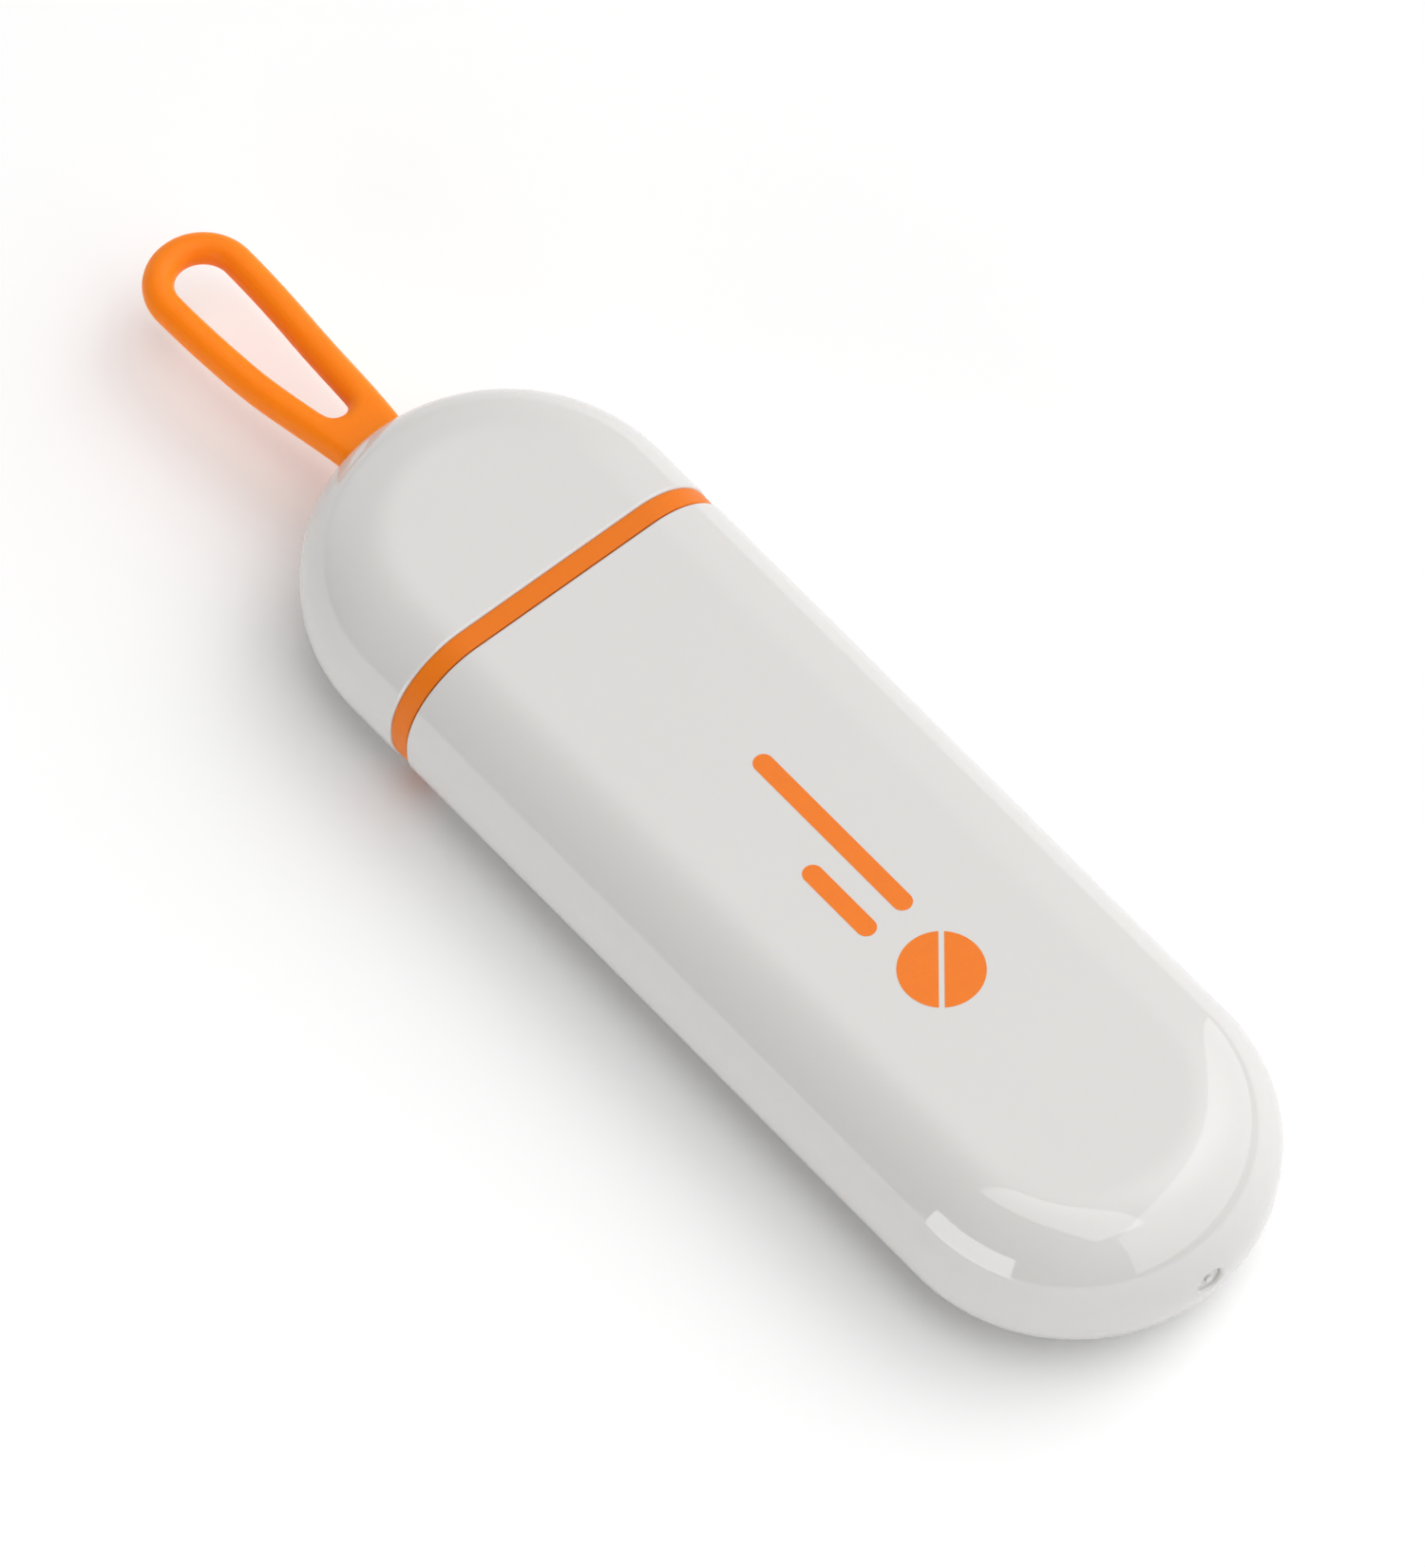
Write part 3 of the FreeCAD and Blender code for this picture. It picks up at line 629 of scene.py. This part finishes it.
# ---- the pull loop ----
class PILL_OT_loop(bpy.types.Operator):
    """Pull loop, its root and its foot, as the one silicone moulding that it is"""
    bl_idname = "pill_case.loop"
    bl_label = "Pull Loop"

    def execute(self, context):
        settings = context.scene.pill_loop
        cord = (LOOP_HIGH.z - LOOP_LOW.z) / 2
        foot_high = (FOOT_HIGH.x, FOOT_LOW.y + settings.foot_thickness, FOOT_HIGH.z)
        foot = add_box("foot", FOOT_LOW, foot_high)
        bar = loop_bar("bar", 0.0, FOOT_LOW.y + settings.foot_thickness / 2, CAP_END_Y)
        piece = join([self.cord_line(settings, cord), *self.root(settings, cord), bar, foot])
        piece.name = "silicone_loop"
        piece.data.name = "silicone_loop"
        apply_modifier(piece, "REMESH", mode="VOXEL", voxel_size=settings.voxel, adaptivity=0.0)
        apply_modifier(piece, "SMOOTH", factor=0.5, iterations=settings.smoothing)
        bpy.ops.object.shade_smooth()
        self.sag(piece, settings)
        piece.data.materials.clear()
        piece.data.materials.append(silicone("loop_silicone", settings.tint, 0.6))
        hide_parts("pull_loop", "loop_anchor")
        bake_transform(piece)
        return {"FINISHED"}

    def cord_line(self, settings, cord):
        """The round cord along its teardrop: up one bowed side, round the end and down the other."""
        side = settings.end_width / 2 - cord
        end_y = LOOP_HIGH.y - settings.end_width / 2
        root_x = settings.root_width / 2 - cord - settings.root_dive * settings.splay
        root_y = CAP_END_Y - settings.root_dive
        third = (end_y - root_y) / 3
        bowed_x = root_x + third * settings.splay
        quarter = CIRCLE_HANDLE * side
        path = (
            ((-root_x, root_y), (-root_x, root_y - third), (-bowed_x, root_y + third)),
            ((-side, end_y), (-side, end_y - third), (-side, end_y + quarter)),
            ((0, end_y + side), (-quarter, end_y + side), (quarter, end_y + side)),
            ((side, end_y), (side, end_y + quarter), (side, end_y - third)),
            ((root_x, root_y), (bowed_x, root_y + third), (root_x, root_y - third)),
        )
        bpy.ops.object.select_all(action="DESELECT")
        bpy.ops.curve.primitive_bezier_curve_add(location=(0, 0, 0))
        line = bpy.context.active_object
        line.data.bevel_depth = cord
        line.data.bevel_resolution = 8
        line.data.resolution_u = 24
        line.data.use_fill_caps = True
        points = line.data.splines[0].bezier_points
        points.add(len(path) - len(points))
        for point, (place, before, after) in zip(points, path):
            point.handle_left_type = point.handle_right_type = "FREE"
            point.co = (*place, MID_Z)
            point.handle_left = (*before, MID_Z)
            point.handle_right = (*after, MID_Z)
        bpy.ops.object.convert(target="MESH")
        return bpy.context.active_object

    def root(self, settings, cord):
        """The round crotch of the eye, and the web that fills the root below it."""
        crotch_y = CAP_END_Y + settings.eye_start + settings.crotch_radius
        turn = settings.crotch_radius + cord
        bpy.ops.object.select_all(action="DESELECT")
        bpy.ops.mesh.primitive_torus_add(location=(0, crotch_y, MID_Z), major_radius=turn,
                                         minor_radius=cord, major_segments=64, minor_segments=32)
        crotch = bpy.context.active_object
        settle(crotch)
        edit(crotch)
        bpy.ops.mesh.select_all(action="SELECT")
        bpy.ops.mesh.bisect(plane_co=(0, crotch_y, 0), plane_no=(0, 1, 0), use_fill=True, clear_outer=True)
        done()
        web = add_box("web", (-turn, CAP_END_Y - cord, MID_Z - cord), (turn, crotch_y, MID_Z + cord))
        edit(web)
        pick("VERT", lambda v: v.co.y < CAP_END_Y)
        narrow = (settings.root_width / 2 - cord) / turn
        bpy.ops.transform.resize(value=(narrow, 1, 1), center_override=(0, CAP_END_Y, MID_Z))
        done()
        eye = add_cylinder("eye", turn, 4 * cord, (0, crotch_y, MID_Z), (0, 0, 1))
        cut_or_join(web, eye, "DIFFERENCE")
        return [crotch, web]

    def sag(self, piece, settings):
        """Lets the soft loop hang and sway a little beyond its root."""
        for vertex in piece.data.vertices:
            share = min(max((vertex.co.y - CAP_END_Y) / settings.sag_length, 0.0), 1.0)
            share = share * share * (3 - 2 * share)
            vertex.co += share * Vector((-settings.sway, 0, -settings.sag))


# ---- the tray ----
def tub_outline(piece, half_width, far_y, near_y, top, corner):
    """Rounds the far end of a box into a half circle, and its bottom edge."""
    edit(piece)
    pick("EDGE", lambda e: level(e, 1, far_y) and runs_along(e, 2))
    full_round(half_width, steps=32)
    bottom = min(v.co.z for v in bmesh.from_edit_mesh(piece.data).verts)
    pick("EDGE", lambda e: level(e, 2, bottom) and not level(e, 1, near_y))
    bevel(corner, steps=8)
    pick("FACE", lambda f: level(f, 2, top))


class PILL_OT_tray(bpy.types.Operator):
    """Open tray with guide ribs for its dividers"""
    bl_idname = "pill_case.tray"
    bl_label = "Pill Tray"

    def execute(self, context):
        settings = context.scene.pill_tray
        near_y = CORE_LOW.y
        floor = TRAY_LOW.z + settings.wall
        piece = add_box("tray", (-settings.half_width, TRAY_LOW.y, TRAY_LOW.z),
                        (settings.half_width, near_y, TRAY_HIGH.z))
        tub_outline(piece, settings.half_width, TRAY_LOW.y, near_y, TRAY_HIGH.z, settings.corner)
        inset(settings.wall)
        bpy.ops.mesh.extrude_region_move(TRANSFORM_OT_translate={"value": (0, 0, floor - TRAY_HIGH.z)})
        pick("EDGE", lambda e: level(e, 2, floor))
        bevel(settings.corner - settings.wall, steps=8)
        done()
        cut_or_join(piece, self.ribs(settings, floor), "UNION")
        edit(piece)
        pick("EDGE", lambda e: level(e, 2, TRAY_HIGH.z) and e.calc_face_angle(0) > 1.0)
        bevel(settings.rim_round, steps=3)
        done()
        smooth(piece)
        finish_piece(piece, frosted_plastic(settings.tint), "tray_plastic", "drawer", "pill_tray")
        return {"FINISHED"}

    def ribs(self, settings, floor):
        """Pairs of upright ribs that make the grooves, at each divider and half way between."""
        places = [sum(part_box(name), Vector()).y / 2 for name in DIVIDERS]
        half_pitch = abs(places[0] - places[1]) / 2
        near_plate = (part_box(DIVIDERS[0])[1].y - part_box(DIVIDERS[0])[0].y) / 2 + settings.divider_play
        inner = settings.half_width - settings.wall
        foot, top = floor + settings.corner - settings.wall, TRAY_HIGH.z - settings.guide_drop
        ribs = []
        for y in sorted(places + [place + half_pitch for place in places]):
            for side in (-1, 1):
                y0, y1 = sorted((y + side * near_plate, y + side * (near_plate + settings.guide_width)))
                for wall in (-1, 1):
                    face = wall * (inner - settings.guide_depth)
                    x0, x1 = sorted((face, wall * (inner + settings.wall / 2)))
                    rib = add_box("rib", (x0, y0, foot), (x1, y1, top))
                    edit(rib)
                    pick("EDGE", lambda e: level(e, 0, face) or level(e, 2, top))
                    bevel(settings.rib_round, steps=2)
                    done()
                    ribs.append(rib)
        return join(ribs)


class PILL_OT_dividers(bpy.types.Operator):
    """Loose dividers that stand in the grooves of the tray"""
    bl_idname = "pill_case.dividers"
    bl_label = "Dividers"

    def execute(self, context):
        settings = context.scene.pill_tray
        low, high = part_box(DIVIDERS[0])
        first = add_box("divider_plate_1", low, high)
        edit(first)
        pick("EDGE", lambda e: level(e, 2, low.z) and runs_along(e, 1))
        bevel(settings.corner - settings.wall, steps=8)
        done()
        middle = (low + high) / 2
        dip_z = high.z - settings.dip_depth + settings.dip_radius
        dip = add_cylinder("dip", settings.dip_radius, 4 * (high.y - low.y),
                           (0, middle.y, dip_z), (0, 1, 0))
        cut_or_join(first, dip, "DIFFERENCE")
        edit(first)
        pick("EDGE", lambda e: level(e, 1, low.y) or level(e, 1, high.y))
        bevel(settings.plate_round, steps=2)
        done()
        smooth(first)
        material = frosted_plastic(settings.tint)
        plates = [first]
        for number, name in enumerate(DIVIDERS[1:], start=2):
            plate = first.copy()
            plate.data = first.data.copy()
            plate.name = "divider_plate_%d" % number
            bpy.context.scene.collection.objects.link(plate)
            plate.data.transform(Matrix.Translation(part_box(name)[0] - low))
            plates.append(plate)
        for plate, name in zip(plates, DIVIDERS):
            finish_piece(plate, material, "tray_plastic", "drawer", name)
        return {"FINISHED"}


# ---- the print ----
class PILL_OT_print(bpy.types.Operator):
    """Printed tablet and plain bars on the top of the case"""
    bl_idname = "pill_case.print"
    bl_label = "Print"

    def execute(self, context):
        settings = context.scene.pill_print
        low, high = BODY_TOP - settings.ink_height, BODY_TOP + settings.ink_height
        middle = Vector((settings.tablet_x, settings.tablet_y, 0))
        tablet = add_cylinder("print_tablet", settings.tablet_radius, high - low,
                              middle + Vector((0, 0, BODY_TOP)), (0, 0, 1), sides=96)
        reach, half_gap = 1.2 * settings.tablet_radius, settings.score_width / 2
        score = add_box("score", (-reach, -half_gap, low - MM), (reach, half_gap, high + MM))
        score.data.transform(Matrix.Translation(middle) @ Matrix.Rotation(settings.score_turn, 4, "Z"))
        cut_or_join(tablet, score, "DIFFERENCE")
        start = settings.bar_start
        short = self.bar(settings, "print_bar_short", settings.short_bar_x, start, settings.short_bar_end)
        long = self.bar(settings, "print_bar_long", settings.long_bar_x, start, settings.long_bar_end)
        material = printed_ink(settings.tint)
        for piece in (tablet, short, long):
            bpy.context.view_layer.objects.active = piece
            piece.data.materials.clear()
            piece.data.materials.append(material)
            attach(piece, "case")
        return {"FINISHED"}

    def bar(self, settings, name, x, y0, y1):
        """A plain bar with round ends."""
        half, ink = settings.bar_height / 2, settings.ink_height
        bar = add_box(name, (x - half, y0, BODY_TOP - ink), (x + half, y1, BODY_TOP + ink))
        edit(bar)
        pick("EDGE", lambda e: runs_along(e, 2, ink))
        full_round(half, steps=12)
        done()
        return bar


# ---- the stage ----
def direction(azimuth, elevation):
    """Unit vector towards a place: azimuth counted from +X towards +Y, in degrees."""
    a, e = math.radians(azimuth), math.radians(elevation)
    return Vector((math.cos(a) * math.cos(e), math.sin(a) * math.cos(e), math.sin(e)))


def softbox(name, place, facing, width, height, radiance):
    """A rectangular light of even radiance, turned so that it shines along facing."""
    bpy.ops.object.select_all(action="DESELECT")
    bpy.ops.object.light_add(type="AREA", location=place)
    light = bpy.context.active_object
    light.name = name
    light.data.shape = "RECTANGLE"
    light.data.size = width
    light.data.size_y = height
    light.data.energy = radiance * math.pi * width * height
    light.rotation_euler = Vector(facing).to_track_quat("-Z", "Y").to_euler()
    light.visible_camera = False


def upright_softbox(name, azimuth, distance, width, low, high, radiance):
    """A softbox that stands around the object, from low to high above the floor."""
    place = direction(azimuth, 0) * distance
    softbox(name, place + Vector((0, 0, (low + high) / 2)), -place, width, high - low, radiance)


FLOOR_SIZE = 8.0
KEY_PLACE = {"azimuth": -42, "distance": 0.5, "width": 1.7, "low": 0.1, "high": 1.26}
WINDOW_PLACE = {"azimuth": 184, "distance": 0.5, "width": 0.41, "low": 0.0, "high": 0.23}
STRIP_PLACE = {"place": (-0.1, -0.22, 1.2), "facing": (0, 0, -1), "width": 0.5, "height": 1.1}
SKY_LOBES = (  # azimuth, elevation and radiance of each broad soft glow of the studio
    (5, 60, 2.15), (-90, 50, 0.4), (45, 12, 0.6), (90, 12, 1.0),
)


class PILL_OT_studio(bpy.types.Operator):
    """Pale floor, soft studio light and the camera"""
    bl_idname = "pill_case.studio"
    bl_label = "Studio"

    def execute(self, context):
        settings = context.scene.pill_studio
        bpy.ops.object.select_all(action="DESELECT")
        bpy.ops.mesh.primitive_plane_add(size=FLOOR_SIZE, location=(0, 0, 0))
        floor = bpy.context.active_object
        floor.name = "studio_floor"
        floor.data.materials.append(pale_floor(settings.floor_tint))
        upright_softbox("key_softbox", radiance=settings.key_radiance, **KEY_PLACE)
        upright_softbox("side_window", radiance=settings.window_radiance, **WINDOW_PLACE)
        softbox("overhead_strip", radiance=settings.strip_radiance, **STRIP_PLACE)
        context.scene.world = self.sky(settings)
        context.scene.view_settings.view_transform = "Standard"
        self.add_camera(context, settings)
        return {"FINISHED"}

    def sky(self, settings):
        """Even air with a few broad glows, which have no edges to mirror in the shell."""
        world = bpy.data.worlds.new("studio_air")
        world.use_nodes = True
        nodes, links = world.node_tree.nodes, world.node_tree.links
        place = nodes.new("ShaderNodeTexCoord").outputs["Generated"]

        def step(operation, first, second):
            """One step of arithmetic on numbers or on other steps."""
            node = nodes.new("ShaderNodeMath")
            node.operation = operation
            for socket, value in zip(node.inputs, (first, second)):
                if isinstance(value, bpy.types.NodeSocket):
                    links.new(value, socket)
                else:
                    socket.default_value = value
            return node.outputs["Value"]

        total = settings.ambient
        for azimuth, elevation, radiance in SKY_LOBES:
            facing = nodes.new("ShaderNodeVectorMath")
            facing.operation = "DOT_PRODUCT"
            facing.inputs[1].default_value = direction(azimuth, elevation)
            links.new(place, facing.inputs[0])
            glow = step("POWER", step("MAXIMUM", facing.outputs["Value"], 0.0), settings.glow_falloff)
            total = step("ADD", step("MULTIPLY", glow, radiance), total)
        links.new(total, nodes["Background"].inputs["Strength"])
        nodes["Background"].inputs["Color"].default_value = settings.air_tint
        return world

    def add_camera(self, context, settings):
        """The camera of the main view, aimed a little off the origin."""
        a, e = settings.azimuth, settings.elevation
        back = Vector((math.sin(a) * math.cos(e), -math.cos(a) * math.cos(e), math.sin(e)))
        right = Vector((math.cos(a), math.sin(a), 0))
        up = back.cross(right)
        aim = right * settings.aim_right + up * settings.aim_up
        place = back * settings.camera_distance
        bpy.ops.object.camera_add(location=place)
        camera = bpy.context.active_object
        camera.name = "studio_camera"
        camera.rotation_euler = (place - aim).to_track_quat("Z", "Y").to_euler()
        camera.data.lens = settings.lens
        camera.data.clip_start = 0.1
        camera.data.clip_end = 20.0
        context.scene.camera = camera


STEPS = (PILL_OT_case, PILL_OT_cap, PILL_OT_plug, PILL_OT_seal, PILL_OT_loop, PILL_OT_tray,
         PILL_OT_dividers, PILL_OT_print, PILL_OT_studio)


class PILL_PT_panel(bpy.types.Panel):
    """Lists the steps that build the pill case"""
    bl_idname = "PILL_PT_panel"
    bl_label = "Pocket Pill Case"
    bl_space_type = "VIEW_3D"
    bl_region_type = "UI"
    bl_category = "Pill Case"

    def draw(self, context):
        for step in STEPS:
            self.layout.operator(step.bl_idname)
        for name, group in GROUPS.items():
            box = self.layout.box()
            for key in group.__annotations__:
                box.prop(getattr(context.scene, name), key)


def register():
    for name, group in GROUPS.items():
        bpy.utils.register_class(group)
        setattr(bpy.types.Scene, name, PointerProperty(type=group))
    for item in STEPS + (PILL_PT_panel,):
        bpy.utils.register_class(item)


def unregister():
    for item in reversed(STEPS + (PILL_PT_panel,)):
        bpy.utils.unregister_class(item)
    for name, group in reversed(GROUPS.items()):
        delattr(bpy.types.Scene, name)
        bpy.utils.unregister_class(group)


def main():
    """Builds everything."""
    register()
    bpy.ops.pill_case.studio()
    bpy.ops.pill_case.case()
    bpy.ops.pill_case.cap()
    bpy.ops.pill_case.plug()
    bpy.ops.pill_case.seal()
    bpy.ops.pill_case.loop()
    bpy.ops.pill_case.tray()
    bpy.ops.pill_case.dividers()
    bpy.ops.pill_case.print()


if __name__ == "__main__":
    main()
